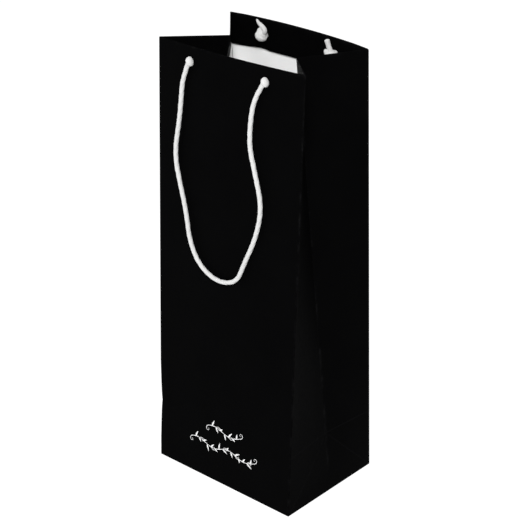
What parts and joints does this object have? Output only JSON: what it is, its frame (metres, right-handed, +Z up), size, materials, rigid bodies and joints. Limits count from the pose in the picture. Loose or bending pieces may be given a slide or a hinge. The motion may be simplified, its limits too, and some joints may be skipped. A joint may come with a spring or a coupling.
{
  "type": "wine gift bag",
  "caption": "Tall narrow gusseted paper gift bag for a bottle, with a turned-in rim, a board in the base and rope handles that swing up from holes in the front and back.",
  "frame": {"origin": "middle of the base, on the surface the bag stands on", "axes": "+Z up towards the mouth, the front panel faces -Y, the gussets face -X and +X"},
  "size_m": [0.1365, 0.0989, 0.34],
  "materials": {
    "bag_paper": "satin",
    "stiffener_card": "matte",
    "base_board": "matte",
    "rope": "matte",
    "motif_print": "satin"
  },
  "bodies": {
    "bag": {"front_panel": "bag_paper", "back_panel": "bag_paper", "left_gusset_front": "bag_paper", "left_gusset_back": "bag_paper", "right_gusset_front": "bag_paper", "right_gusset_back": "bag_paper", "front_hem": "bag_paper", "back_hem": "bag_paper", "left_gusset_front_hem": "bag_paper", "left_gusset_back_hem": "bag_paper", "right_gusset_front_hem": "bag_paper", "right_gusset_back_hem": "bag_paper", "seam_flap": "bag_paper", "base_front_flap": "bag_paper", "base_back_flap": "bag_paper", "base_left_tuck_flap": "bag_paper", "base_right_tuck_flap": "bag_paper", "front_stiffener": "stiffener_card", "back_stiffener": "stiffener_card", "base_board": "base_board", "front_left_knot": "rope", "front_right_knot": "rope", "back_left_knot": "rope", "back_right_knot": "rope"},
    "front_handle": {"front_handle_rope": "rope"},
    "back_handle": {"back_handle_rope": "rope"}
  },
  "joints": [
    {"name": "front_handle_swing", "type": "hinge", "parent": "bag", "child": "front_handle", "pos_m": [-0.0329, -0.0423, 0.3295], "axis": [-0.9999, -0.0146, 0], "range_deg": [0, 175]},
    {"name": "back_handle_swing", "type": "hinge", "parent": "bag", "child": "back_handle", "pos_m": [-0.0346, 0.0442, 0.3295], "axis": [0.9995, -0.0311, 0], "range_deg": [0, 175]}
  ]
}
